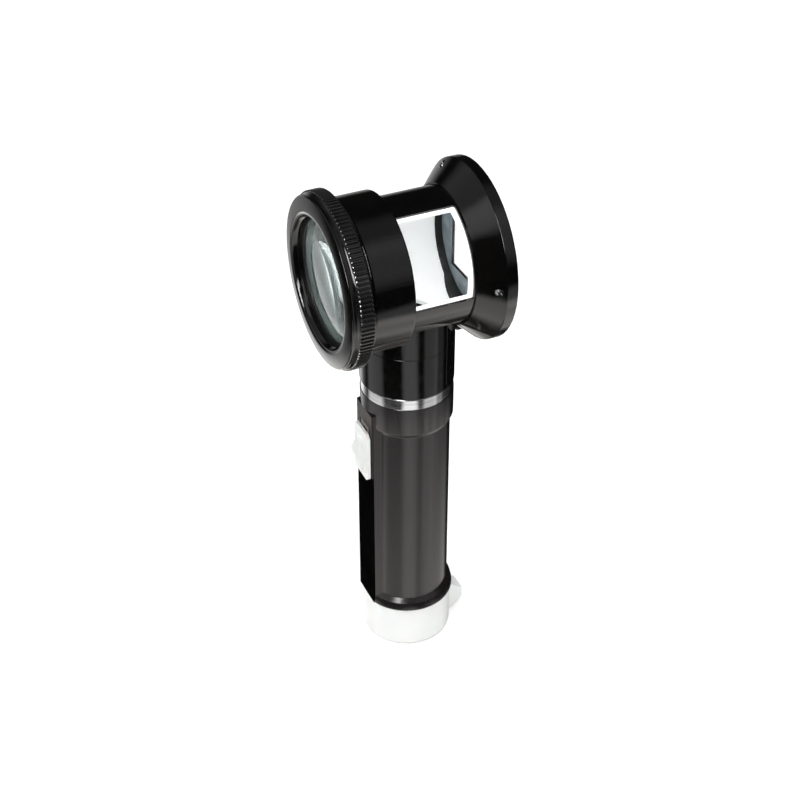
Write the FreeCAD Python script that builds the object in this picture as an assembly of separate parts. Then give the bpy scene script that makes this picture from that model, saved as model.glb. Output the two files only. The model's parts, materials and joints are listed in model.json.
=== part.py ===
import FreeCAD, Part
import math
import os

# Illuminated loupe on a battery handle.
# Frame: +Z runs up the handle axis, the lens looks along -Y, and the origin is the centre of the cap's
# flat bottom.
# All lengths are in millimetres.

V = FreeCAD.Vector
X, Y, Z = V(1, 0, 0), V(0, 1, 0), V(0, 0, 1)

# ---- fits ----
RUN = 0.08                # radial running clearance
GAP = 0.15                # gap where one unit comes off another
SEAT = 0.05               # radial clearance of a piece that is pressed or glued in

# ---- driving dimensions: the two axes and the stack of the handle ----
HEAD_Z = 170.3            # height of the optical axis
CAP_TOP = 19.3            # joint between end cap and handle
SHELL_BOTTOM = CAP_TOP + GAP
SHELL_TOP = 118.1
CHROME_TOP = 122.6
NECK_BOTTOM = CHROME_TOP + GAP
SEAM_Z = 140.3            # seam between the neck socket and the head casting

TUBE_R = 16.3             # handle grip
COLLAR_R = 17.5           # thicker band at the top of the handle
BORE_R = 14.6             # bore of the handle
FLARE_R = 18.4            # skirt over the end cap
NECK_R = 17.6
NECK_WALL = 1.7
CAP_R = 17.6


# ---- spine and switch on the -Y side of the handle ----
SPINE_Y = -17.4           # face of the raised strip
SPINE_HALF = 7.0
SPINE_TOP = 112.0
STRIP_T = 0.7
SLIDER_Z = (81.4, 103.0)
SLIDER_TRAVEL = 4.0
SLOT_Z = (91.0, 103.0)
SLOT_HALF = 2.3
TRACK_Z = (88.0, 105.3)
TRACK_HALF = 4.0

# ---- head, given as radius and distance along the optical axis ----
BODY_R = 28.0             # wide barrel behind the focus ring
BODY_BORE = 26.1
BODY_FRONT, BODY_REAR = -25.7, -9.1
SHOULDER = (-10.5, -8.0)
SHOULDER_R = 22.4
VIEW_R, VIEW_BORE = 24.9, 24.0
VIEW_END = 26.6
LINER_BORE = 22.3
LINER = (-7.9, 21.2)
MASK = (24.2, 25.3)       # plate with the measuring field, in front of the reticle
WINDOW_Y = (-8.0, 14.1)
WINDOW_DEG = (-11.0, 72.0)
WINDOW_REVEAL = 1.3       # liner showing inside the black edge of the window

RING_R = 32.0             # knurled focus ring
RING_FRONT, KNURL_FRONT, KNURL_REAR = -32.5, -31.1, -26.0
SLEEVE_BORE = 24.68
KNURL_RIBS = 120
KNURL_DEPTH = 0.5
BEZEL_R, BEZEL_BORE = 30.9, 23.9
BEZEL_THROAT = 23.0        # where the mouth ends, next to the lens cell
BEZEL_FRONT = -34.3

BARREL_R, BARREL_BORE = 24.6, 22.8
BARREL = (-30.2, -15.6)
LENS_R = 22.75
FOCUS_PIN_R, FOCUS_PIN_AT = 0.55, 23.7

BELL_SMALL_R, BELL_R = 25.6, 33.3
BELL_Y = (14.75, 22.8, 26.9)    # small end, front edge of the lip, contact face
SCREW_Y = 20.6

# ---- end cap lug on the +Y side ----
LUG_HALF, LUG_Y = 4.2, 23.6

# ---- power ----
CELL_R, CELL_CAN, CELL_TIP = 13.1, 48.3, 1.2
CELL_Z = (12.3, 61.85)
SPRING_WIRE = 0.45


def polygon(points, place):
    """Closed planar face through points, each placed by a function of its two numbers."""
    corners = [place(a, b) for a, b in points]
    return Part.Face(Part.makePolygon(corners + corners[:1]))


def lathe_z(points):
    """Solid of revolution about the handle axis from (radius, height) points."""
    return polygon(points, lambda r, z: V(r, 0, z)).revolve(V(0, 0, 0), Z, 360)


def lathe_y(points):
    """Solid of revolution about the optical axis from (radius, y) points."""
    return polygon(points, lambda r, y: V(r, y, HEAD_Z)).revolve(V(0, 0, HEAD_Z), Y, 360)


def ring_z(r_in, r_out, z0, z1):
    return lathe_z([(r_in, z0), (r_out, z0), (r_out, z1), (r_in, z1)])


def ring_y(r_in, r_out, y0, y1):
    return lathe_y([(r_in, y0), (r_out, y0), (r_out, y1), (r_in, y1)])


def disc_z(r, z0, z1, x=0, y=0):
    return Part.makeCylinder(r, z1 - z0, V(x, y, z0), Z)


def disc_y(r, y0, y1, x=0, z=0):
    return Part.makeCylinder(r, y1 - y0, V(x, y0, HEAD_Z + z), Y)


def block(x0, x1, y0, y1, z0, z1):
    return Part.makeBox(x1 - x0, y1 - y0, z1 - z0, V(x0, y0, z0))


def sector_y(deg0, deg1, y0, y1, r=60.0):
    """Wedge about the optical axis, with angles counted from +X towards +Z."""
    start = V(r * math.cos(math.radians(deg0)), 0, r * math.sin(math.radians(deg0)))
    base = V(0, y0, HEAD_Z)
    far = base + start + V(0, y1 - y0, 0)
    face = Part.Face(Part.makePolygon([base, base + start, far, V(0, y1, HEAD_Z), base]))
    return face.revolve(V(0, 0, HEAD_Z), V(0, -1, 0), deg1 - deg0)


def sector_z(deg0, deg1, z0, z1, r=60.0):
    """Wedge about the handle axis, with angles counted from +X towards +Y."""
    start = V(r * math.cos(math.radians(deg0)), r * math.sin(math.radians(deg0)), 0)
    base = V(0, 0, z0)
    far = base + start + V(0, 0, z1 - z0)
    face = Part.Face(Part.makePolygon([base, base + start, far, V(0, 0, z1), base]))
    return face.revolve(V(0, 0, 0), Z, deg1 - deg0)


def prism_x(points, half):
    """Prism between x = -half and +half from (y, z) points."""
    return polygon(points, lambda y, z: V(-half, y, z)).extrude(V(2 * half, 0, 0))


def soften(solid, radius, wanted):
    """Round the edges of a solid that the test picks out."""
    edges = [e for e in solid.Edges if wanted(e)]
    return solid.makeFillet(radius, edges)


def circle_at(axis, value, radius, slack=0.02):
    """Edge test: a full circle of this radius about either main axis, at this place along it."""
    def wanted(edge):
        if not isinstance(edge.Curve, Part.Circle) or abs(edge.Curve.Radius - radius) > slack:
            return False
        centre = edge.Curve.Center
        return abs((centre.y if axis == "y" else centre.z) - value) < slack
    return wanted


# ------------------------------------------------------------------ handle

def spine_section(y_face, half, z0, z1):
    """Raised spine: a flat face with sides that slope back to the grip."""
    foot, depth = half + 2.1, 3.9
    face = polygon([(-half, y_face), (half, y_face), (foot, y_face + depth), (foot, -8), (-foot, -8),
                    (-foot, y_face + depth)], lambda x, y: V(x, y, z0))
    return face.extrude(V(0, 0, z1 - z0))


def make_handle_shell():
    skirt_rise, skirt_band = 24.4, 20.6
    outside = lathe_z([(0, SHELL_BOTTOM), (FLARE_R, SHELL_BOTTOM), (FLARE_R, skirt_band),
                       (FLARE_R - 0.5, 22.8), (TUBE_R, skirt_rise), (TUBE_R, 104.5), (COLLAR_R, 106.9),
                       (COLLAR_R, SHELL_TOP), (0, SHELL_TOP)])
    base = spine_section(SPINE_Y + STRIP_T, SPINE_HALF, SHELL_BOTTOM, SPINE_TOP)
    shell = outside.fuse(base)
    flat = block(-SPINE_HALF, SPINE_HALF, -30, SPINE_Y + STRIP_T, 0, SPINE_TOP)
    shell = shell.cut(flat).cut(disc_z(BORE_R, 0, 130))
    slot = block(-SLOT_HALF, SLOT_HALF, -20, 0, SLOT_Z[0], SLOT_Z[1])
    return shell.cut(slot).removeSplitter()


def make_spine_strip():
    """Glossy strip along the spine, with a window for the switch track."""
    strip = block(-SPINE_HALF, SPINE_HALF, SPINE_Y, SPINE_Y + STRIP_T, SHELL_BOTTOM, SPINE_TOP)
    strip = soften(strip, 0.3, lambda e: abs(e.CenterOfMass.y - SPINE_Y) < 0.01 and e.Length > 20)
    return strip.cut(block(-TRACK_HALF, TRACK_HALF, -20, 0, TRACK_Z[0], TRACK_Z[1]))


def make_switch_track():
    """Ribbed plate that the slider runs on, let into the strip."""
    inset, rib, pitch = 0.05, 0.2, 0.7
    floor = SPINE_Y + STRIP_T - 0.35
    plate = block(inset - TRACK_HALF, TRACK_HALF - inset, floor, SPINE_Y + STRIP_T, TRACK_Z[0] + inset,
                  TRACK_Z[1] - inset)
    z = SLOT_Z[1] - 1.0
    while z + rib < TRACK_Z[1] - inset:
        plate = plate.fuse(block(-3.6, 3.6, floor - rib, floor, z, z + rib))
        z += pitch
    return plate.cut(block(-SLOT_HALF, SLOT_HALF, -20, 0, SLOT_Z[0], SLOT_Z[1]))


def make_switch_slider():
    """Sliding knob: a flat plate with a thumb ridge, two scoops and a stem through the slot."""
    z0, z1 = SLIDER_Z
    clear, face, peak = SPINE_Y - 0.3, SPINE_Y - 1.4, SPINE_Y - 3.0
    half, corner = 6.3, 1.6
    outline = [(-half + corner, z0), (half - corner, z0), (half, z0 + corner), (half, z1 - corner),
               (half - corner, z1), (corner - half, z1), (-half, z1 - corner), (-half, z0 + corner)]
    tall = polygon(outline, lambda x, z: V(x, peak, z)).extrude(V(0, clear - peak, 0))
    ridge_z = 89.5
    profile = [(clear, z0 - 1), (clear, z1 + 1), (face, z1 + 1), (face, z1 - 1.0), (face, ridge_z + 4.2),
               (peak, ridge_z + 0.8), (peak, ridge_z - 0.8), (face, ridge_z - 3.6), (face, z0 - 1)]
    knob = tall.common(prism_x(profile, half + 1))
    for centre_z, radius in ((ridge_z + 6.6, 7.0), (ridge_z - 5.3, 3.6)):
        scoop = Part.makeSphere(radius, V(0, face - radius + 0.7, centre_z))
        knob = knob.cut(scoop)
    stem = block(-2.0, 2.0, clear - 0.3, -13.75, SLOT_Z[0] + 0.4, SLOT_Z[1] - SLIDER_TRAVEL - 0.4)
    return knob.fuse(stem).removeSplitter()


def make_switch_contact():
    """Brass bridge on the inner end of the stem."""
    return block(-2.4, 2.4, -13.74, -13.4, 87.6, 102.0)


def make_contact_strips():
    """Flat brass strips on the bore: one up from the cap, one down from the lamp."""
    lower = block(-2.4, 2.4, -14.3, -13.9, 26.4, 90.9)
    upper = block(-2.4, 2.4, -14.3, -13.9, 105.0, 111.3)
    foot = block(-2.4, 2.4, -13.9, -12.3, 110.9, 111.3)
    return lower, upper.fuse(foot).removeSplitter()


def make_chrome_ring():
    ring = ring_z(BORE_R - 0.3, COLLAR_R - 0.2, SHELL_TOP, CHROME_TOP)
    return soften(ring, 0.35, circle_at("z", CHROME_TOP, COLLAR_R - 0.2))


# ------------------------------------------------------------------ power and lamp

def make_cell(z0):
    """One battery cell as a crimped can, a positive tip and a negative base."""
    base_r, base_t, crimp = 9.5, 0.4, 0.6
    can = lathe_z([(0, z0 + base_t), (CELL_R - crimp, z0 + base_t), (CELL_R, z0 + base_t + crimp),
                   (CELL_R, z0 + CELL_CAN - crimp), (CELL_R - crimp, z0 + CELL_CAN), (4.2, z0 + CELL_CAN),
                   (4.2, z0 + CELL_CAN - 0.4), (0, z0 + CELL_CAN - 0.4)])
    tip = disc_z(3.3, z0 + CELL_CAN - 0.4, z0 + CELL_CAN + CELL_TIP)
    base = disc_z(base_r, z0, z0 + base_t)
    return can, tip, base


def make_contact_spring(z0, z1):
    """Conical compression spring between the cap's contact and the lower cell."""
    turns, r0, growth_deg = 4, 9.0, -14.0
    wire = SPRING_WIRE
    height = z1 - z0 - 2 * wire
    helix = Part.makeHelix(height / turns, height, r0, growth_deg)
    section = Part.Wire(Part.makeCircle(wire, V(r0, 0, 0), Y))
    coil = Part.Wire(helix.Edges).makePipeShell([section], True, True)
    coil.translate(V(0, 0, z0 + wire))
    return coil


def make_cap_contact():
    """Brass disc on the cap's floor with a tab that rises to the contact strip."""
    disc = disc_z(12.4, 2.0, 2.5)
    floor = block(-2.4, 2.4, -14.0, -12.0, 2.0, 2.5)
    tab = block(-2.4, 2.4, -14.3, -13.9, 2.0, 26.1)
    return disc.fuse([floor, tab]).removeSplitter()


def make_lamp_holder():
    """Insulating cup across the top of the handle that carries the lamp."""
    rim_r = BORE_R - SEAT
    return lathe_z([(2.2, 111.45), (rim_r, 111.45), (rim_r, 113.4), (12.0, 113.4), (12.0, 120.9),
                    (7.5, 120.9), (7.5, 120.2), (4.7, 120.2), (4.7, 113.5), (2.2, 113.5)])


def make_lamp():
    base = disc_z(4.6, 113.6, 120.2).fuse(disc_z(7.4, 120.2, 120.85))
    base = base.cut(disc_z(4.2, 114.2, 121)).removeSplitter()
    tip = disc_z(1.9, 111.4, 113.6)
    bulb_r, bulb_z = 5.4, 128.2
    neck = ring_z(0, 4.0, 116.0, bulb_z - 3.0)
    glass = neck.fuse(Part.makeSphere(bulb_r, V(0, 0, bulb_z)))
    hollow = disc_z(3.5, 116.6, bulb_z - 3.0).fuse(Part.makeSphere(bulb_r - 0.5, V(0, 0, bulb_z)))
    glass = glass.cut(hollow).removeSplitter()
    posts = [Part.makeCylinder(0.25, 11.4, V(x, 0, 116.6), Z) for x in (-1.6, 1.6)]
    wire = Part.makeCylinder(0.16, 3.4, V(-1.7, 0, 127.8), X)
    filament = posts[0].fuse([posts[1], wire])
    return base, tip, glass, filament


def make_reflector():
    """Shallow bright dish round the bulb."""
    return lathe_z([(5.9, 120.95), (7.2, 120.95), (12.3, 128.0), (12.3, 128.6), (11.8, 128.6), (5.9, 121.6)])


# ------------------------------------------------------------------ end cap

def make_end_cap():
    """Turned cup with a spigot, and a lug moulded on its +Y side."""
    spigot_r, cup_bore, edge = BORE_R - RUN, 13.5, 1.3
    cup = lathe_z([(0, 0), (CAP_R, 0), (CAP_R, CAP_TOP), (spigot_r, CAP_TOP), (spigot_r, 25.6),
                   (cup_bore, 25.6), (cup_bore, 2.0), (0, 2.0)])
    cup = soften(cup, edge, circle_at("z", 0, CAP_R))
    top_start, top_mid = V(-LUG_HALF, CAP_R - 0.8, 16.2), V(-LUG_HALF, 19.6, 12.4)
    top_end = V(-LUG_HALF, LUG_Y, 9.6)
    edges = [Part.LineSegment(V(-LUG_HALF, CAP_R - 0.8, 0.6), V(-LUG_HALF, 19.2, 0.6)).toShape(),
             Part.LineSegment(V(-LUG_HALF, 19.2, 0.6), V(-LUG_HALF, LUG_Y, 5.2)).toShape(),
             Part.LineSegment(V(-LUG_HALF, LUG_Y, 5.2), top_end).toShape(),
             Part.Arc(top_end, top_mid, top_start).toShape(),
             Part.LineSegment(top_start, V(-LUG_HALF, CAP_R - 0.8, 0.6)).toShape()]
    lug = Part.Face(Part.Wire(edges)).extrude(V(2 * LUG_HALF, 0, 0))
    lug = soften(lug, 0.6, lambda e: e.CenterOfMass.y > 17.5 and abs(abs(e.CenterOfMass.x) - LUG_HALF) < 0.01)
    lug = lug.cut(disc_z(CAP_R - 0.5, -1, 30))
    groove = block(-2.7, 2.7, -14.6, -12.5, 2.0, 30)
    return cup.fuse(lug).cut(groove).removeSplitter()


# ------------------------------------------------------------------ head

COVER_DEG = (30.0, 150.0)


def head_envelope(clear=0.0):
    """Everything inside the outer skin of the head's two barrels."""
    wide = disc_y(BODY_R + clear, BODY_FRONT - 10, BODY_REAR + clear)
    return wide.fuse(disc_y(VIEW_R + clear, -20, 60))


def window_cut(reveal):
    """Window opening through the +X side, smaller by the reveal in the liner."""
    shrink = math.degrees(reveal / VIEW_R)
    return sector_y(WINDOW_DEG[0] + 0.3 * shrink, WINDOW_DEG[1] - 0.6 * shrink, WINDOW_Y[0] - 0.1,
                    WINDOW_Y[1] - reveal)


LIGHT_PORT = disc_z(8.0, 141.0, 152.0, y=3.0)


def focus_pin_places():
    return [(0, side * FOCUS_PIN_AT) for side in (-1, 1)]


def make_head_body():
    """Casting with the wide barrel, the viewing tube, its window and the top of the neck."""
    bead_r, bead_rear = 29.0, -24.5
    barrel = lathe_y([(BODY_BORE, BODY_FRONT), (bead_r, BODY_FRONT), (bead_r, bead_rear),
                      (BODY_R, bead_rear + 1.0), (BODY_R, BODY_REAR), (VIEW_R, BODY_REAR), (VIEW_R, VIEW_END),
                      (VIEW_BORE, VIEW_END), (VIEW_BORE, SHOULDER[1]), (SHOULDER_R, SHOULDER[1]),
                      (SHOULDER_R, SHOULDER[0]), (BODY_BORE, SHOULDER[0])])
    barrel = soften(barrel, 0.7, circle_at("y", BODY_REAR, BODY_R))
    stub = ring_z(NECK_R - NECK_WALL, NECK_R, SEAM_Z, 160)
    stub = stub.cut(sector_z(COVER_DEG[0], COVER_DEG[1], SEAM_Z - 1, 160))
    neck = stub.cut(head_envelope(-0.05))
    body = barrel.fuse(neck).cut(window_cut(0)).cut(LIGHT_PORT)
    for x, z in focus_pin_places():
        body = body.cut(disc_y(FOCUS_PIN_R, SHOULDER[0] - 1, SHOULDER[1] - 0.6, x, z))
    return body.removeSplitter()


def make_focus_pins():
    pins = [disc_y(FOCUS_PIN_R, SHOULDER[0] - 8.5, SHOULDER[1] - 0.6, x, z) for x, z in focus_pin_places()]
    return Part.makeCompound(pins)


def make_tube_liner():
    """White sleeve that lights the inside of the viewing tube."""
    sleeve = ring_y(LINER_BORE, VIEW_BORE, LINER[0], LINER[1])
    return sleeve.cut(window_cut(WINDOW_REVEAL)).cut(LIGHT_PORT).cut(mouth_foot())


def mouth_foot():
    """Wedge at the bottom of the tube where the black mouth ring reaches forward."""
    reach = 2.6
    return prism_x([(LINER[1], HEAD_Z - 17.6), (LINER[1] - reach, HEAD_Z - LINER_BORE),
                    (LINER[1] - reach, HEAD_Z - 30), (LINER[1], HEAD_Z - 30)], 30)


def make_mouth_ring():
    """Black ring at the end of the white sleeve, with a foot that reaches forward."""
    foot = ring_y(LINER_BORE, VIEW_BORE, LINER[1] - 5, LINER[1]).common(mouth_foot())
    return ring_y(LINER_BORE, VIEW_BORE, LINER[1], MASK[0]).fuse(foot).removeSplitter()


def make_scale_mask():
    """Plate with a rectangular clear field."""
    half_x, half_z = 13.7, 14.0
    plate = disc_y(VIEW_BORE - SEAT, MASK[0], MASK[1])
    return plate.cut(block(-half_x, half_x, MASK[0] - 1, MASK[1] + 1, HEAD_Z - half_z, HEAD_Z + half_z))


def make_reticle_glass():
    return disc_y(VIEW_BORE - SEAT, MASK[1], VIEW_END - 0.2)


def make_bell():
    """Flared foot: a cone from the viewing tube to a flat contact lip."""
    small, lip, face = BELL_Y
    bore = VIEW_R + SEAT
    profile = [(bore, small), (BELL_SMALL_R, small), (BELL_R, lip), (BELL_R, face), (BELL_R - 2.2, face),
               (bore, VIEW_END - 1.6)]
    bell = lathe_y(profile)
    bell = soften(bell, 0.5, lambda e: circle_at("y", lip, BELL_R)(e) or circle_at("y", face, BELL_R)(e))
    for turn in range(3):
        bell = bell.cut(make_radial(turn, BELL_SMALL_R - 1.0, 40, 1.3))
    return bell


def bell_space(clear):
    """The bell's outer cone, grown by a clearance, for cutting what passes under it."""
    small, lip, _ = BELL_Y
    return lathe_y([(0, small - clear), (BELL_SMALL_R + clear, small - clear), (BELL_R + clear, lip),
                    (BELL_R + clear, lip + 20), (0, lip + 20)])


def make_radial(turn, r0, r1, radius):
    """Radial cylinder in the bell, one of three at 120 degrees, the first towards +X."""
    angle = math.radians(120 * turn)
    out = V(math.cos(angle), 0, math.sin(angle))
    return Part.makeCylinder(radius, r1 - r0, V(0, SCREW_Y, HEAD_Z) + out * r0, out)


def make_bell_screws():
    """Three socket set screws that grip the viewing tube."""
    r_end = BELL_SMALL_R + (BELL_R - BELL_SMALL_R) * (SCREW_Y - BELL_Y[0]) / (BELL_Y[1] - BELL_Y[0]) - 0.5
    screws = []
    for turn in range(3):
        screw = make_radial(turn, VIEW_R, r_end, 1.3)
        screws.append(screw.cut(make_radial(turn, r_end - 1.2, r_end + 1, 0.65)))
    return Part.makeCompound(screws)


def make_neck_socket():
    """Lower neck: a sleeve over the lamp, with a spigot that plugs into the handle."""
    spigot_r = BORE_R - 0.3 - RUN
    bore = NECK_R - NECK_WALL
    sleeve = lathe_z([(12.9, 114.8), (spigot_r, 114.8), (spigot_r, NECK_BOTTOM), (NECK_R, NECK_BOTTOM),
                      (NECK_R, SEAM_Z - 0.1), (bore, SEAM_Z - 0.1), (bore, 124.6), (12.9, 124.6)])
    return sleeve.cut(sector_z(COVER_DEG[0], COVER_DEG[1], 124.6, 160)).removeSplitter()


def make_neck_rear_cover():
    """Curved cover at the back of the neck, from the socket's floor up to the viewing tube."""
    inset = 0.35
    sleeve = ring_z(NECK_R - NECK_WALL, NECK_R, 124.65, 160)
    cover = sleeve.common(sector_z(COVER_DEG[0] + inset, COVER_DEG[1] - inset, 120, 165))
    shelf = block(-7.5, 7.5, NECK_R - 1.2, 19.8, 141.6, 152)
    cover = cover.fuse(shelf).cut(head_envelope(0.05)).cut(bell_space(0.1))
    return cover.removeSplitter()


def make_light_window():
    """Frosted disc over the lamp, at the top of the neck."""
    return disc_z(NECK_R - NECK_WALL - 0.05, 140.4, 141.9)


# ------------------------------------------------------------------ eyepiece

def knurl_outline():
    """Straight-ribbed outline of the ring, one flat-topped rib per pitch."""
    root, pitch = RING_R - KNURL_DEPTH, 360.0 / KNURL_RIBS
    points = []
    for rib in range(KNURL_RIBS):
        for share, radius in ((0.0, root), (0.34, root), (0.5, RING_R), (0.84, RING_R)):
            angle = math.radians((rib + share) * pitch)
            points.append((radius * math.cos(angle), radius * math.sin(angle)))
    return points


def make_focus_ring():
    """Knurled ring with a smooth band in front and a sleeve inside the barrel."""
    sleeve_r = BODY_BORE - RUN
    band_r = BEZEL_R + 0.5
    turned = lathe_y([(SLEEVE_BORE, RING_FRONT), (band_r - 0.4, RING_FRONT), (band_r, RING_FRONT + 0.5),
                      (RING_R - KNURL_DEPTH, KNURL_FRONT), (RING_R - KNURL_DEPTH, KNURL_REAR),
                      (sleeve_r, KNURL_REAR), (sleeve_r, -12.2), (SLEEVE_BORE, -12.2)])
    ribs = polygon(knurl_outline(), lambda x, z: V(x, KNURL_FRONT, HEAD_Z + z))
    ribs = ribs.extrude(V(0, KNURL_REAR - KNURL_FRONT, 0)).cut(disc_y(29.0, -40, 0))
    tips = lathe_y([(28.5, KNURL_FRONT), (RING_R - 0.35, KNURL_FRONT), (RING_R, KNURL_FRONT + 0.35),
                    (RING_R, KNURL_REAR - 0.35), (RING_R - 0.35, KNURL_REAR), (28.5, KNURL_REAR)])
    return turned.fuse(ribs.common(tips)).removeSplitter()


def make_front_bezel():
    """Domed ring whose mouth narrows towards the lens."""
    front = BEZEL_FRONT
    return lathe_y([(BEZEL_THROAT, RING_FRONT), (BEZEL_R, RING_FRONT), (BEZEL_R, front + 1.05),
                    (30.5, front + 0.6), (29.6, front + 0.33), (27.4, front + 0.08), (25.4, front),
                    (24.5, front + 0.08), (BEZEL_BORE, front + 0.4)])


def make_lens_barrel():
    """Sliding cell that carries the lenses, keyed to the head by two pins."""
    front, rear = BARREL
    barrel = lathe_y([(BARREL_BORE, front), (BARREL_R, front), (BARREL_R, rear), (21.4, rear),
                      (21.4, rear - 1.7), (BARREL_BORE, rear - 1.7)])
    for x, z in focus_pin_places():
        barrel = barrel.cut(disc_y(FOCUS_PIN_R + 0.05, rear - 9.0, rear + 1, x, z))
    return barrel


def lens(edge_front, edge_rear, sag_front, sag_rear):
    """Lens with spherical faces; a sag is how far a face bulges past its edge."""
    lo, hi = V(LENS_R, edge_front, HEAD_Z), V(LENS_R, edge_rear, HEAD_Z)
    apex_front, apex_rear = V(0, edge_front - sag_front, HEAD_Z), V(0, edge_rear + sag_rear, HEAD_Z)

    def face_edge(rim, apex, sag):
        if sag == 0:
            return Part.LineSegment(rim, apex).toShape()
        sphere_r = (LENS_R ** 2 + sag ** 2) / (2 * sag)
        inward = 1 if apex.y < rim.y else -1
        middle_r = LENS_R / 2
        middle_y = apex.y + inward * (sphere_r - math.sqrt(sphere_r ** 2 - middle_r ** 2))
        return Part.Arc(rim, V(middle_r, middle_y, HEAD_Z), apex).toShape()

    edges = [face_edge(lo, apex_front, sag_front), Part.LineSegment(apex_front, apex_rear).toShape(),
             face_edge(hi, apex_rear, sag_rear), Part.LineSegment(hi, lo).toShape()]
    wire = Part.Wire(Part.__sortEdges__(edges))
    return Part.Face(wire).revolve(V(0, 0, HEAD_Z), Y, 360)


def make_lens_spacer():
    """Ring between the lenses, resting on their curved faces along its inner edge."""
    return ring_y(21.5, LENS_R, -27.2, -20.0)


def make_retaining_ring():
    """Thin ring that holds the front lens, with two slots for a pin wrench."""
    front, rear, bore = BARREL[0] - 0.3, -29.85, 21.9
    ring = ring_y(bore, BARREL_BORE - SEAT, front, rear)
    for side in (-1, 1):
        slot_z = HEAD_Z + side * bore
        ring = ring.cut(block(-1.0, 1.0, front - 1, front + 0.35, slot_z - 2, slot_z + 2))
    return ring


def build_parts():
    contact_lower, contact_upper = make_contact_strips()
    lamp_base, lamp_tip, lamp_glass, lamp_filament = make_lamp()
    parts = {
        "handle_shell": make_handle_shell(),
        "spine_strip": make_spine_strip(),
        "switch_track": make_switch_track(),
        "switch_slider": make_switch_slider(),
        "switch_contact": make_switch_contact(),
        "contact_strip_lower": contact_lower,
        "contact_strip_upper": contact_upper,
        "chrome_ring": make_chrome_ring(),
        "lamp_holder": make_lamp_holder(),
        "lamp_base": lamp_base,
        "lamp_tip": lamp_tip,
        "lamp_glass": lamp_glass,
        "lamp_filament": lamp_filament,
        "reflector": make_reflector(),
        "end_cap": make_end_cap(),
        "cap_contact": make_cap_contact(),
        "contact_spring": make_contact_spring(2.55, CELL_Z[0] - 0.05),
        "head_body": make_head_body(),
        "focus_guide_pins": make_focus_pins(),
        "tube_liner": make_tube_liner(),
        "mouth_ring": make_mouth_ring(),
        "scale_mask": make_scale_mask(),
        "reticle_glass": make_reticle_glass(),
        "bell": make_bell(),
        "bell_screws": make_bell_screws(),
        "neck_socket": make_neck_socket(),
        "neck_rear_cover": make_neck_rear_cover(),
        "light_window": make_light_window(),
        "focus_ring": make_focus_ring(),
        "front_bezel": make_front_bezel(),
        "lens_barrel": make_lens_barrel(),
        "front_lens": lens(-29.6, -27.6, 2.4, 3.4),
        "rear_lens": lens(-19.6, -17.3, 3.4, 0),
        "lens_spacer": make_lens_spacer(),
        "lens_retaining_ring": make_retaining_ring(),
    }
    for name, z0 in zip(("lower", "upper"), CELL_Z):
        can, tip, base = make_cell(z0)
        parts[f"{name}_cell_can"] = can
        parts[f"{name}_cell_tip"] = tip
        parts[f"{name}_cell_base"] = base
    return parts


def main():
    os.makedirs("parts", exist_ok=True)
    for name, shape in build_parts().items():
        if not shape.isValid() or shape.Volume <= 0:
            raise ValueError(f"{name}: not a valid solid")
        shape.exportStep(f"parts/{name}.step")
        print(f"{name:22s} {len(shape.Solids)} solid(s)  {shape.Volume / 1000:8.3f} cm3")


main()
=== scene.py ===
import json
import math

import bmesh
import bpy
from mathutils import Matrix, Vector


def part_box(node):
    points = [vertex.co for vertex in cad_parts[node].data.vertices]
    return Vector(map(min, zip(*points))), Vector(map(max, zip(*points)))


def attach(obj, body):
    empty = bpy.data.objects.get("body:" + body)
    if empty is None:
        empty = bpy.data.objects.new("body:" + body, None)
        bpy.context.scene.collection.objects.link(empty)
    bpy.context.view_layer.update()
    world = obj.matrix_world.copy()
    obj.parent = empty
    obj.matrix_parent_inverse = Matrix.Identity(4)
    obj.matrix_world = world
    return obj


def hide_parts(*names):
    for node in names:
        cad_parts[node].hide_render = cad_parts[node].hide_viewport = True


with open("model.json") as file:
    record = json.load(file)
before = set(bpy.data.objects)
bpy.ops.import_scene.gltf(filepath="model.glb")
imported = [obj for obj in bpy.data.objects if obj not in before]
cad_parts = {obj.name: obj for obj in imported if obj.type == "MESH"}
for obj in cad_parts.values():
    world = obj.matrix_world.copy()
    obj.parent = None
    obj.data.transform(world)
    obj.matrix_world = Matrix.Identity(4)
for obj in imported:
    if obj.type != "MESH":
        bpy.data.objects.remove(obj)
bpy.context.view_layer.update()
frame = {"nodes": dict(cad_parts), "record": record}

MM = 0.001
AXIS_Z = (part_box("front_bezel")[0].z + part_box("front_bezel")[1].z) / 2   # height of the optical axis


# ------------------------------------------------------------------ camera, lights and floor

def towards(azimuth, elevation):
    """Unit vector to a place in the studio: azimuth 0 is -Y and 90 is +X, in degrees."""
    az, el = math.radians(azimuth), math.radians(elevation)
    return Vector((math.sin(az) * math.cos(el), -math.cos(az) * math.cos(el), math.sin(el)))


CAMERA_AZ, CAMERA_EL = 65.77, 36.22
CAMERA_AWAY = 0.56
CAMERA_LENS = 71.57
AIM_RIGHT, AIM_UP = -2.51 * MM, -48.45 * MM    # aim, from the point where the two axes cross
SENSOR = 36
NEAREST = 0.01                                 # nearest distance that the camera sees
LIGHTS_AIM = Vector((0, 0, 0.11))              # middle of the object


def make_camera():
    back = towards(CAMERA_AZ, CAMERA_EL)
    right = towards(CAMERA_AZ + 90, 0)
    up = back.cross(right)
    aim = Vector((0, 0, AXIS_Z)) + right * AIM_RIGHT + up * AIM_UP
    data = bpy.data.cameras.new("camera")
    data.sensor_width = SENSOR
    data.lens = CAMERA_LENS
    data.clip_start = NEAREST
    camera = bpy.data.objects.new("camera", data)
    camera.location = aim + back * CAMERA_AWAY
    camera.rotation_euler = back.to_track_quat("Z", "Y").to_euler()
    bpy.context.scene.collection.objects.link(camera)
    bpy.context.scene.camera = camera


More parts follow.
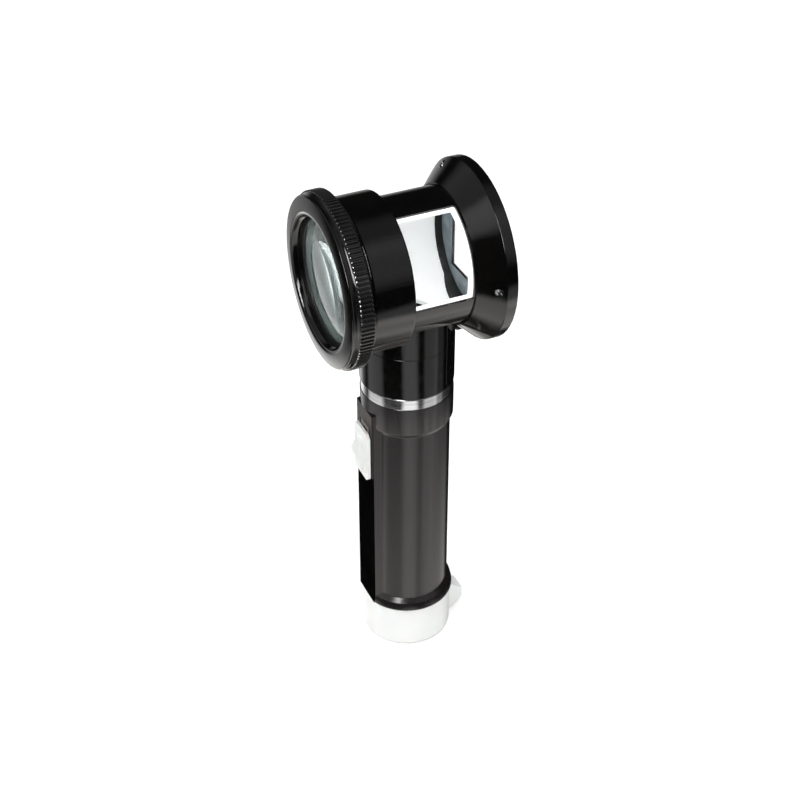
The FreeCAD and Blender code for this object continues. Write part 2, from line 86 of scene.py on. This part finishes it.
def softbox(name, azimuth, elevation, away, size, watts):
    """Square area light that faces the object. Reflections come from the world's panels instead."""
    data = bpy.data.lights.new(name, "AREA")
    data.shape = "SQUARE"
    data.size = size
    data.energy = watts
    lamp = bpy.data.objects.new(name, data)
    lamp.location = LIGHTS_AIM + towards(azimuth, elevation) * away
    lamp.rotation_euler = towards(azimuth, elevation).to_track_quat("Z", "Y").to_euler()
    lamp.visible_glossy = False
    bpy.context.scene.collection.objects.link(lamp)


def make_lights():
    softbox("softbox_top", 40, 75, 1.1, 0.9, 13)
    softbox("softbox_right", 80, 35, 1.1, 0.7, 4.5)
    softbox("softbox_left", -5, 35, 1.2, 0.8, 3.8)
    softbox("softbox_back", 205, 45, 1.2, 0.8, 4)
    bpy.context.scene.view_settings.view_transform = "Standard"


# Soft panels that polished surfaces reflect: azimuth, elevation, half-angle, width of the soft edge and
# brightness. A panel below zero darkens what the others light.
PANELS = [
    (117, 36, 10, 30, 0.48),
    (-30, 34, 22, 24, 0.36),
    (4, 31, 8, 12, 0.80),
    (150, 72, 10, 25, 0.22),
    (-18, -38, 12, 12, 0.75),
    (74, -38, 8, 11, 1.10),
    (126, -36, 10, 8, 0.58),
    (150, -38, 6, 8, 0.22),
    (-92, -30, 14, 24, 0.58),
    (-84, -46, 9, 10, 0.70),
    (0, -90, 17, 9, -1.25),
    (238, -52, 16, 14, -1.40),
]
TALL_LAMP = ((44, 19), (54, 27), (50, 34), (45, 42), (40, 50))     # azimuth and elevation along its length
PANELS += [(azimuth, elevation, 5, 3, 12.0) for azimuth, elevation in TALL_LAMP]
GROUND = 1.45                     # pale paper round the object
GROUND_EDGE, GROUND_CORE = 54, 45  # angles from straight down where it starts and where it is full
GROUND_TINT = (1.0, 0.965, 0.93)
AROUND = 0.006                    # the rest of the room
FILL = 0.36                       # even light on matt surfaces


def make_world():
    """Even fill for matt surfaces; a darker room with soft panels for polished ones."""
    world = bpy.data.worlds.new("studio")
    world.use_nodes = True
    nodes, links = world.node_tree.nodes, world.node_tree.links
    direction = nodes.new("ShaderNodeTexCoord").outputs["Generated"]

    def fed(socket, value):
        """Sets a socket, or links it when the value is another node's output."""
        if hasattr(value, "links"):
            links.new(value, socket)
        elif isinstance(value, tuple) and len(socket.default_value) == 4:
            socket.default_value = (*value, 1)
        else:
            socket.default_value = value

    def glow(towards_it, edge, core, bright):
        """Brightness that rises as the view direction nears a vector, between two angles in degrees."""
        dot = nodes.new("ShaderNodeVectorMath")
        dot.operation = "DOT_PRODUCT"
        fed(dot.inputs[0], direction)
        fed(dot.inputs[1], towards_it)
        ramp = nodes.new("ShaderNodeMapRange")
        ramp.interpolation_type = "SMOOTHSTEP"
        fed(ramp.inputs["Value"], dot.outputs["Value"])
        fed(ramp.inputs["From Min"], math.cos(math.radians(edge)))
        fed(ramp.inputs["From Max"], math.cos(math.radians(core)))
        fed(ramp.inputs["To Max"], bright)
        return ramp.outputs["Result"]

    def maths(operation, first, second):
        node = nodes.new("ShaderNodeMath")
        node.operation = operation
        fed(node.inputs[0], first)
        fed(node.inputs[1], second)
        return node.outputs["Value"]

    def mixed(kind, factor, first, second):
        node = nodes.new("ShaderNodeMix")
        node.data_type = "RGBA"
        node.blend_type = kind
        fed(node.inputs["Factor"], factor)
        fed(node.inputs["A"], first)
        fed(node.inputs["B"], second)
        return node.outputs["Result"]

    ground = glow(Vector((0, 0, -1)), GROUND_EDGE, GROUND_CORE, 1.0)
    total = maths("MULTIPLY", ground, GROUND)
    for azimuth, elevation, half, edge, bright in PANELS:
        total = maths("ADD", total, glow(towards(azimuth, elevation), half + edge, half, bright))
    total = maths("MAXIMUM", total, AROUND)
    room = mixed("MULTIPLY", ground, total, GROUND_TINT)
    glossy = nodes.new("ShaderNodeLightPath").outputs["Is Glossy Ray"]
    fed(nodes["Background"].inputs["Color"], mixed("MIX", glossy, (FILL, FILL, FILL), room))
    bpy.context.scene.world = world


FLOOR_HALF = 3.0


def make_floor():
    mesh = bpy.data.meshes.new("floor")
    corners = [(x * FLOOR_HALF, y * FLOOR_HALF, 0) for x, y in ((-1, -1), (1, -1), (1, 1), (-1, 1))]
    mesh.from_pydata(corners, [], [(0, 1, 2, 3)])
    floor = bpy.data.objects.new("floor", mesh)
    floor.visible_glossy = False
    bpy.context.scene.collection.objects.link(floor)
    paint = Paint("floor_paper", (0.97, 0.97, 0.965), 0.85)
    paint.set(Specular_IOR_Level=0.0)
    paint.mottle(30, (0.96, 0.96, 0.95), 0.5)
    mesh.materials.append(paint.material)


# ------------------------------------------------------------------ materials

class Paint:
    """A Principled material that gathers procedural colour, roughness and relief."""

    def __init__(self, name, colour, roughness, metallic=0.0, coat=0.0):
        self.material = bpy.data.materials.new(name)
        self.material.use_nodes = True
        self.nodes = self.material.node_tree.nodes
        self.links = self.material.node_tree.links
        self.shader = self.nodes["Principled BSDF"]
        self.shader.inputs["Base Color"].default_value = (*colour, 1)
        self.shader.inputs["Roughness"].default_value = roughness
        self.shader.inputs["Metallic"].default_value = metallic
        self.shader.inputs["Coat Weight"].default_value = coat
        self.colour, self.roughness = colour, roughness
        self.place = self.nodes.new("ShaderNodeTexCoord").outputs["Object"]
        self.relief_normal = None

    def set(self, **sockets):
        for name, value in sockets.items():
            self.shader.inputs[name.replace("_", " ")].default_value = value
        return self

    def stretched(self, scale):
        """Object coordinates times a scale for each axis, in features per metre."""
        mapping = self.nodes.new("ShaderNodeMapping")
        mapping.inputs["Scale"].default_value = scale
        self.links.new(self.place, mapping.inputs["Vector"])
        return mapping.outputs["Vector"]

    def noise(self, scale, detail=3.0):
        """Noise value; the scale is one number or one for each axis."""
        node = self.nodes.new("ShaderNodeTexNoise")
        node.inputs["Detail"].default_value = detail
        if isinstance(scale, tuple):
            node.inputs["Scale"].default_value = 1.0
            self.links.new(self.stretched(scale), node.inputs["Vector"])
        else:
            node.inputs["Scale"].default_value = scale
            self.links.new(self.place, node.inputs["Vector"])
        return node.outputs["Fac"]

    def ranged(self, value, low, high, out_low, out_high):
        node = self.nodes.new("ShaderNodeMapRange")
        node.inputs["From Min"].default_value = low
        node.inputs["From Max"].default_value = high
        node.inputs["To Min"].default_value = out_low
        node.inputs["To Max"].default_value = out_high
        self.links.new(value, node.inputs["Value"])
        return node.outputs["Result"]

    def mottle(self, scale, second, amount=1.0, low=0.35, high=0.65):
        """Colour drifts towards a second one in soft patches."""
        mix = self.nodes.new("ShaderNodeMix")
        mix.data_type = "RGBA"
        mix.inputs["A"].default_value = (*self.colour, 1)
        mix.inputs["B"].default_value = (*second, 1)
        self.links.new(self.ranged(self.noise(scale), low, high, 0, amount), mix.inputs["Factor"])
        self.links.new(mix.outputs["Result"], self.shader.inputs["Base Color"])
        return self

    def polish(self, scale, spread, low=0.35, high=0.65):
        """Roughness varies by the spread about its middle."""
        low_out, high_out = self.roughness - spread, self.roughness + spread
        value = self.ranged(self.noise(scale, 5.0), low, high, low_out, high_out)
        self.links.new(value, self.shader.inputs["Roughness"])
        return self

    def relief(self, scale, depth, detail=2.0):
        """Fine surface relief of this depth in metres; calls add up."""
        bump = self.nodes.new("ShaderNodeBump")
        bump.inputs["Strength"].default_value = 1.0
        bump.inputs["Distance"].default_value = depth
        self.links.new(self.noise(scale, detail), bump.inputs["Height"])
        if self.relief_normal is not None:
            self.links.new(self.relief_normal, bump.inputs["Normal"])
        self.relief_normal = bump.outputs["Normal"]
        self.links.new(self.relief_normal, self.shader.inputs["Normal"])
        return self


def glossy_black():
    paint = Paint("glossy_black", (0.0012, 0.0012, 0.0013), 0.10)
    paint.mottle(90, (0.0022, 0.0020, 0.0019)).polish(240, 0.04)
    return paint.relief(260, 0.000012).relief(4000, 0.0000006)


def knurl_black():
    paint = Paint("knurl_black", (0.0025, 0.0025, 0.0026), 0.14)
    return paint.mottle(150, (0.007, 0.007, 0.007)).polish(500, 0.05).relief(3000, 0.000001)


def satin_black():
    paint = Paint("satin_black", (0.0068, 0.0054, 0.0058), 0.22)
    paint.set(Specular_IOR_Level=0.44)
    paint.mottle((60, 60, 12), (0.0086, 0.0070, 0.0072)).polish((500, 500, 40), 0.02)
    return paint.relief((2200, 2200, 70), 0.0000006).relief(1500, 0.0000012)


def strip_black():
    paint = Paint("strip_black", (0.0010, 0.0010, 0.0011), 0.22)
    paint.set(Specular_IOR_Level=0.0)
    return paint.mottle(80, (0.0022, 0.0021, 0.0021)).polish(300, 0.03).relief(700, 0.000001)


def strip_satin():
    paint = Paint("strip_satin", (0.019, 0.015, 0.0135), 0.34)
    paint.set(Specular_IOR_Level=0.10)
    return paint.mottle(120, (0.026, 0.020, 0.018)).polish(400, 0.04).relief(1500, 0.0000012)


def enamel_black():
    paint = Paint("enamel_black", (0.012, 0.012, 0.012), 0.34)
    return paint.mottle(120, (0.02, 0.02, 0.02)).polish(400, 0.06).relief((200, 3000, 200), 0.000003)


def white_plastic():
    paint = Paint("white_plastic", (0.71, 0.72, 0.71), 0.36)
    paint.set(Subsurface_Weight=0.12, Subsurface_Scale=0.002)
    return paint.mottle(55, (0.69, 0.70, 0.695)).polish(200, 0.05).relief(1400, 0.000006)


def liner_white():
    paint = Paint("liner_white", (0.94, 0.95, 0.95), 0.55)
    # The liner glows a little: painted light that brightens the inside of the viewing tube.
    paint.set(Emission_Color=(1, 1, 1, 1), Emission_Strength=0.30)
    return paint.mottle(70, (0.92, 0.935, 0.935)).polish(200, 0.05).relief(1100, 0.000008)


def grey_plastic():
    paint = Paint("grey_plastic", (0.26, 0.26, 0.25), 0.5)
    return paint.mottle(200, (0.20, 0.20, 0.195)).polish(300, 0.06).relief(1500, 0.000006)


def holder_plastic():
    paint = Paint("holder_plastic", (0.62, 0.58, 0.47), 0.45)
    return paint.mottle(90, (0.56, 0.52, 0.42)).polish(200, 0.06).relief(1200, 0.000006)


def chrome_plate():
    paint = Paint("chrome_plate", (0.74, 0.74, 0.75), 0.13, metallic=1.0)
    paint.mottle((40, 40, 900), (0.60, 0.60, 0.61)).polish((60, 60, 2500), 0.06)
    return paint.relief((30, 30, 5000), 0.000002)


def brass_strip():
    paint = Paint("brass_strip", (0.72, 0.52, 0.22), 0.25, metallic=1.0)
    paint.mottle(90, (0.60, 0.42, 0.18)).polish((600, 600, 40), 0.08)
    return paint.relief((2500, 2500, 80), 0.000002)


def bright_steel():
    paint = Paint("bright_steel", (0.58, 0.58, 0.59), 0.24, metallic=1.0)
    return paint.mottle(200, (0.48, 0.48, 0.49)).polish(800, 0.08).relief(3000, 0.000002)


def reflector_bright():
    paint = Paint("reflector_bright", (0.86, 0.86, 0.87), 0.08, metallic=1.0)
    return paint.mottle(60, (0.80, 0.80, 0.81)).polish(150, 0.03).relief(500, 0.000004)


def cell_sleeve():
    paint = Paint("cell_sleeve", (0.05, 0.10, 0.17), 0.3, coat=0.2)
    return paint.mottle((20, 20, 60), (0.08, 0.14, 0.22)).polish(200, 0.05).relief(900, 0.000004)


def glass(name, tint, roughness, ior, second, clear=1.0):
    paint = Paint(name, tint, roughness)
    paint.set(Transmission_Weight=clear, IOR=ior)
    return paint.mottle(45, second).relief(300, 0.0000004)


def lens_glass():
    # A little light scatters off the glass's tint instead of passing through: painted sheen that stands in
    # for the grey-green reflections in the lens.
    return glass("lens_glass", (0.86, 0.95, 0.93), 0.012, 1.5, (0.84, 0.94, 0.93), clear=0.965)


def spacer_grey():
    paint = Paint("spacer_grey", (0.34, 0.35, 0.34), 0.35)
    return paint.mottle(150, (0.28, 0.30, 0.30)).polish(300, 0.08).relief(1200, 0.000006)


# Bright metal for the ends of the knurl's ribs: painted highlight that stands in for the glints along the
# black ribs.
def rib_glint():
    paint = Paint("rib_glint", (0.42, 0.42, 0.42), 0.22, metallic=1.0)
    return paint.mottle(700, (0.05, 0.05, 0.05), 1.0, 0.42, 0.58).polish(900, 0.08)


def scale_glass():
    return glass("scale_glass", (0.97, 0.99, 0.985), 0.01, 1.45, (0.96, 0.985, 0.98))


def lamp_glass():
    return glass("lamp_glass", (0.99, 0.99, 0.98), 0.01, 1.45, (0.98, 0.98, 0.97))


def frosted_glass():
    return glass("frosted_glass", (0.95, 0.96, 0.95), 0.5, 1.45, (0.93, 0.94, 0.93))


def mask_film():
    paint = Paint("mask_film", (0.20, 0.25, 0.28), 0.4)
    return paint.mottle(160, (0.36, 0.41, 0.44)).polish(400, 0.08).relief(1500, 0.000003)


# Black for the walls round the mask's field, which draws a dark outline round it.
def mask_edge_black():
    paint = Paint("mask_edge_black", (0.012, 0.010, 0.009), 0.35)
    return paint.mottle(200, (0.03, 0.022, 0.018)).polish(400, 0.05)


# ------------------------------------------------------------------ pieces taken from the CAD shapes

SMOOTH_UNDER = math.radians(28)      # faces that meet at less than this shade as one
BEVEL_OVER = math.radians(32)        # edges sharper than this are softened
SAME_PLACE = 1e-7                    # vertices closer than this, in metres, are one
LARGE_FACE_PULL = 80                 # how strongly large faces steer the normals, 0 to 100

BODIES = frame["record"]["behaviour"]["bodies"]
BODY_OF = {node: body for body, nodes in BODIES.items() for node in nodes}


def finish_mesh(obj, angle):
    """Smooth shading with sharp edges kept, and normals that follow the large faces."""
    bm = bmesh.new()
    bm.from_mesh(obj.data)
    bmesh.ops.remove_doubles(bm, verts=bm.verts, dist=SAME_PLACE)
    for face in bm.faces:
        face.smooth = True
    for edge in bm.edges:
        edge.smooth = len(edge.link_faces) == 2 and edge.calc_face_angle(0) < angle
    bm.to_mesh(obj.data)
    bm.free()
    weighted = obj.modifiers.new("even_normals", "WEIGHTED_NORMAL")
    weighted.keep_sharp = True
    weighted.weight = LARGE_FACE_PULL


def adopt(piece, node, angle=SMOOTH_UNDER):
    """Finishes a piece and lets it stand for a CAD node."""
    finish_mesh(piece, angle)
    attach(piece, BODY_OF[node])
    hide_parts(node)


def carry(node, paint, bevel):
    """A piece with the CAD node's own shape, softened along its sharp edges."""
    source = frame["nodes"][node]
    mesh = source.data.copy()
    mesh.materials.clear()
    obj = bpy.data.objects.new(node + "_skin", mesh)
    bpy.context.scene.collection.objects.link(obj)
    mesh.materials.append(paint.material)
    for polygon in mesh.polygons:
        polygon.material_index = 0
    if bevel:
        soften = obj.modifiers.new("soft_edges", "BEVEL")
        soften.width = bevel
        soften.segments = 2
        soften.limit_method = "ANGLE"
        soften.angle_limit = BEVEL_OVER
        soften.use_clamp_overlap = True
    adopt(obj, node)
    return obj


PAINTS = {}


def paint_for(maker):
    """Each paint is made once."""
    if maker.__name__ not in PAINTS:
        PAINTS[maker.__name__] = maker()
    return PAINTS[maker.__name__]


# Node, material slot of the record, paint, and how far its edges are softened, in millimetres
LOOKS = [
    ("handle_shell", "black_satin", satin_black, 0.25),
    ("spine_strip", "strip_gloss", strip_black, 0.0),
    ("switch_track", "grey_plastic", grey_plastic, 0.0),
    ("switch_slider", "white_plastic", white_plastic, 0.25),
    ("switch_contact", "brass", brass_strip, 0.05),
    ("contact_strip_lower", "brass", brass_strip, 0.05),
    ("contact_strip_upper", "brass", brass_strip, 0.05),
    ("chrome_ring", "chrome", chrome_plate, 0.0),
    ("lamp_holder", "holder_plastic", holder_plastic, 0.15),
    ("lamp_base", "brass", brass_strip, 0.1),
    ("lamp_tip", "steel", bright_steel, 0.2),
    ("lamp_glass", "lamp_glass", lamp_glass, 0.0),
    ("lamp_filament", "steel", bright_steel, 0.0),
    ("reflector", "reflector", reflector_bright, 0.1),
    ("end_cap", "white_plastic", white_plastic, 0.2),
    ("cap_contact", "brass", brass_strip, 0.05),
    ("contact_spring", "steel", bright_steel, 0.0),
    ("head_body", "black_gloss", glossy_black, 0.15),
    ("focus_guide_pins", "steel", bright_steel, 0.1),
    ("tube_liner", "liner_white", liner_white, 0.1),
    ("mouth_ring", "barrel_black", enamel_black, 0.1),
    ("scale_mask", "mask_tint", mask_film, 0.0),
    ("reticle_glass", "scale_glass", scale_glass, 0.0),
    ("bell", "black_gloss", glossy_black, 0.2),
    ("bell_screws", "steel", bright_steel, 0.1),
    ("neck_socket", "black_gloss", glossy_black, 0.15),
    ("neck_rear_cover", "black_gloss", glossy_black, 0.15),
    ("light_window", "frosted", frosted_glass, 0.0),
    ("lens_barrel", "barrel_black", enamel_black, 0.1),
    ("front_lens", "lens_glass", lens_glass, 0.0),
    ("rear_lens", "lens_glass", lens_glass, 0.0),
    ("lens_spacer", "grey_plastic", spacer_grey, 0.0),
    ("lens_retaining_ring", "barrel_black", enamel_black, 0.1),
    ("lower_cell_can", "cell_jacket", cell_sleeve, 0.2),
    ("lower_cell_tip", "steel", bright_steel, 0.2),
    ("lower_cell_base", "steel", bright_steel, 0.1),
    ("upper_cell_can", "cell_jacket", cell_sleeve, 0.2),
    ("upper_cell_tip", "steel", bright_steel, 0.2),
    ("upper_cell_base", "steel", bright_steel, 0.1),
]


def swept_ring(name, profile, turns):
    """Mesh swept about the optical axis. The profile is a closed outline of (groove radius, rib radius, y)
    in millimetres; a turn is (angle in radians, how far the outline is towards its rib radius)."""
    bm = bmesh.new()
    rings = []
    for angle, share in turns:
        ring = []
        for low, high, y in profile:
            radius = (low + (high - low) * share) * MM
            ring.append(bm.verts.new((radius * math.cos(angle), y * MM, AXIS_Z + radius * math.sin(angle))))
        rings.append(ring)
    for turn, ring in enumerate(rings):
        following = rings[(turn + 1) % len(rings)]
        for i in range(len(profile)):
            j = (i + 1) % len(profile)
            bm.faces.new((ring[i], following[i], following[j], ring[j]))
    bmesh.ops.recalc_face_normals(bm, faces=bm.faces)
    mesh = bpy.data.meshes.new(name)
    bm.to_mesh(mesh)
    bm.free()
    obj = bpy.data.objects.new(name, mesh)
    bpy.context.scene.collection.objects.link(obj)
    return obj


def arc(start, end, bulge, count):
    """Points from start to end, start left out, bowed to the left of the way by the bulge."""
    (x0, y0), (x1, y1) = start, end
    span = math.hypot(x1 - x0, y1 - y0)
    side = ((y0 - y1) / span, (x1 - x0) / span)
    points = []
    for i in range(1, count + 1):
        t = i / count
        lift = bulge * 4 * t * (1 - t)
        points.append((x0 + (x1 - x0) * t + side[0] * lift, y0 + (y1 - y0) * t + side[1] * lift))
    return points


# Bezel and focus ring: radii and places along y, in millimetres
BEZEL_FRONT, BEZEL_BACK = -34.3, -32.5
BEZEL_R, BEZEL_THROAT = 30.9, 23.0
DOME_IN, DOME_OUT, DOME_DROP = 25.1, 30.4, 0.60
DOME_STEPS, BEZEL_TURNS = 14, 240


def make_bezel():
    """Front ring with a domed face, rounded edges and a mouth that narrows towards the lens."""
    dome = []
    for i in range(DOME_STEPS + 1):
        t = i / DOME_STEPS
        dome.append((DOME_OUT + (DOME_IN - DOME_OUT) * t, BEZEL_FRONT + DOME_DROP * (1 - t) ** 1.6))
    lip = (24.0, BEZEL_FRONT + 0.35)
    profile = [(BEZEL_THROAT, BEZEL_BACK), (BEZEL_R, BEZEL_BACK), (BEZEL_R, BEZEL_FRONT + 1.15)]
    profile += arc(profile[-1], dome[0], -0.13, 6) + dome[1:]
    profile += arc(dome[-1], lip, -0.10, 7)
    profile += arc(lip, (BEZEL_THROAT, BEZEL_BACK), -0.10, 6)[:-1]
    turns = [(2 * math.pi * i / BEZEL_TURNS, 0) for i in range(BEZEL_TURNS)]
    bezel = swept_ring("front_bezel_skin", [(r, r, y) for r, y in profile], turns)
    bezel.data.materials.append(paint_for(glossy_black).material)
    adopt(bezel, "front_bezel", math.radians(40))


RIBS = 120
# Place along the pitch, and share of the rib's height there
RIB_SHAPE = ((0.0, 0.0), (0.28, 0.0), (0.38, 0.72), (0.50, 1.0), (0.78, 1.0), (0.90, 0.72))
# Distance past a rib's end, and share of the rib's height there
RIB_END = ((0.0, 0.0), (0.12, 0.62), (0.32, 0.90), (0.60, 1.0))
RIB_ROOT, RIB_TOP = 31.45, 32.0
RIB_CREST = 0.9                      # a rib's top is what stands above this share of its height
KNURL_FRONT, KNURL_BACK = -31.1, -26.0
SHOULDER_R, SLEEVE_R, RING_BORE, RING_BACK = 30.95, 26.02, 24.68, -12.2


def make_focus_ring():
    """Knurled ring: rounded shoulder, smooth band, ribs whose ends are bright metal as painted glints, and
    the sleeve behind them.
    """
    def ribbed(ends, y, way):
        return [(RIB_ROOT, RIB_ROOT + (RIB_TOP - RIB_ROOT) * share, y + way * past) for past, share in ends]

    outline = [(RING_BORE, RING_BORE, BEZEL_BACK), (SHOULDER_R, SHOULDER_R, BEZEL_BACK)]
    outline += [(r, r, y) for r, y in arc((SHOULDER_R, BEZEL_BACK), (RIB_ROOT, KNURL_FRONT), 0.10, 8)]
    front = len(outline) - 1
    outline += ribbed(RIB_END[1:], KNURL_FRONT, 1)
    rear = len(outline)
    outline += ribbed(RIB_END[::-1], KNURL_BACK, -1)
    sleeve = ((SLEEVE_R, KNURL_BACK), (SLEEVE_R, RING_BACK), (RING_BORE, RING_BACK))
    outline += [(r, r, y) for r, y in sleeve]
    pitch = 2 * math.pi / RIBS
    turns = [((rib + place) * pitch, share) for rib in range(RIBS) for place, share in RIB_SHAPE]
    ring = swept_ring("focus_ring_skin", outline, turns)
    ring.data.materials.append(paint_for(knurl_black).material)
    ring.data.materials.append(paint_for(rib_glint).material)
    # Faces at the ribs' ends get the bright metal that paints the glints.
    glint_faces = {front, front + 1, rear + 1, rear + 2}
    for face in ring.data.polygons:
        turn, place = divmod(face.index, len(outline))
        if place in glint_faces and RIB_SHAPE[turn % len(RIB_SHAPE)][1] > RIB_CREST:
            face.material_index = 1
    adopt(ring, "focus_ring")


def cut_across(piece, axis, place):
    """Cuts a piece's faces with a plane across an axis, and keeps both sides."""
    bm = bmesh.new()
    bm.from_mesh(piece.data)
    through, normal = Vector(), Vector()
    through[axis], normal[axis] = place, 1
    everything = bm.verts[:] + bm.edges[:] + bm.faces[:]
    bmesh.ops.bisect_plane(bm, geom=everything, plane_co=through, plane_no=normal)
    bm.to_mesh(piece.data)
    bm.free()


def slope_bead(piece):
    """The bead in front of the barrel rises from its front edge instead of starting square."""
    front, crest, edge = -25.7 * MM, 29.0 * MM, 28.45 * MM
    for vertex in piece.data.vertices:
        x, y, z = vertex.co
        radius = math.hypot(x, z - AXIS_Z)
        if abs(y - front) < 0.05 * MM and radius > crest - 0.1 * MM:
            vertex.co = (x * edge / radius, y, AXIS_Z + (z - AXIS_Z) * edge / radius)


def strip_finishes(piece):
    """The strip is glossy below the switch, and satin like the handle round it."""
    change = 83.0 * MM
    cut_across(piece, 2, change)
    piece.data.materials.append(paint_for(strip_satin).material)
    for polygon in piece.data.polygons:
        if polygon.center.z > change:
            polygon.material_index = 1


def blacken_field_walls(piece):
    """The edges of the mask's field are black, and its faces keep their tint."""
    piece.data.materials.append(paint_for(mask_edge_black).material)
    for polygon in piece.data.polygons:
        if abs(polygon.normal.y) < 0.5:
            polygon.material_index = 1


def make_pieces():
    pieces = {node: carry(node, paint_for(maker), bevel * MM) for node, slot, maker, bevel in LOOKS}
    blacken_field_walls(pieces["scale_mask"])
    strip_finishes(pieces["spine_strip"])
    slope_bead(pieces["head_body"])
    make_bezel()
    make_focus_ring()


make_camera()
make_lights()
make_world()
make_floor()
make_pieces()
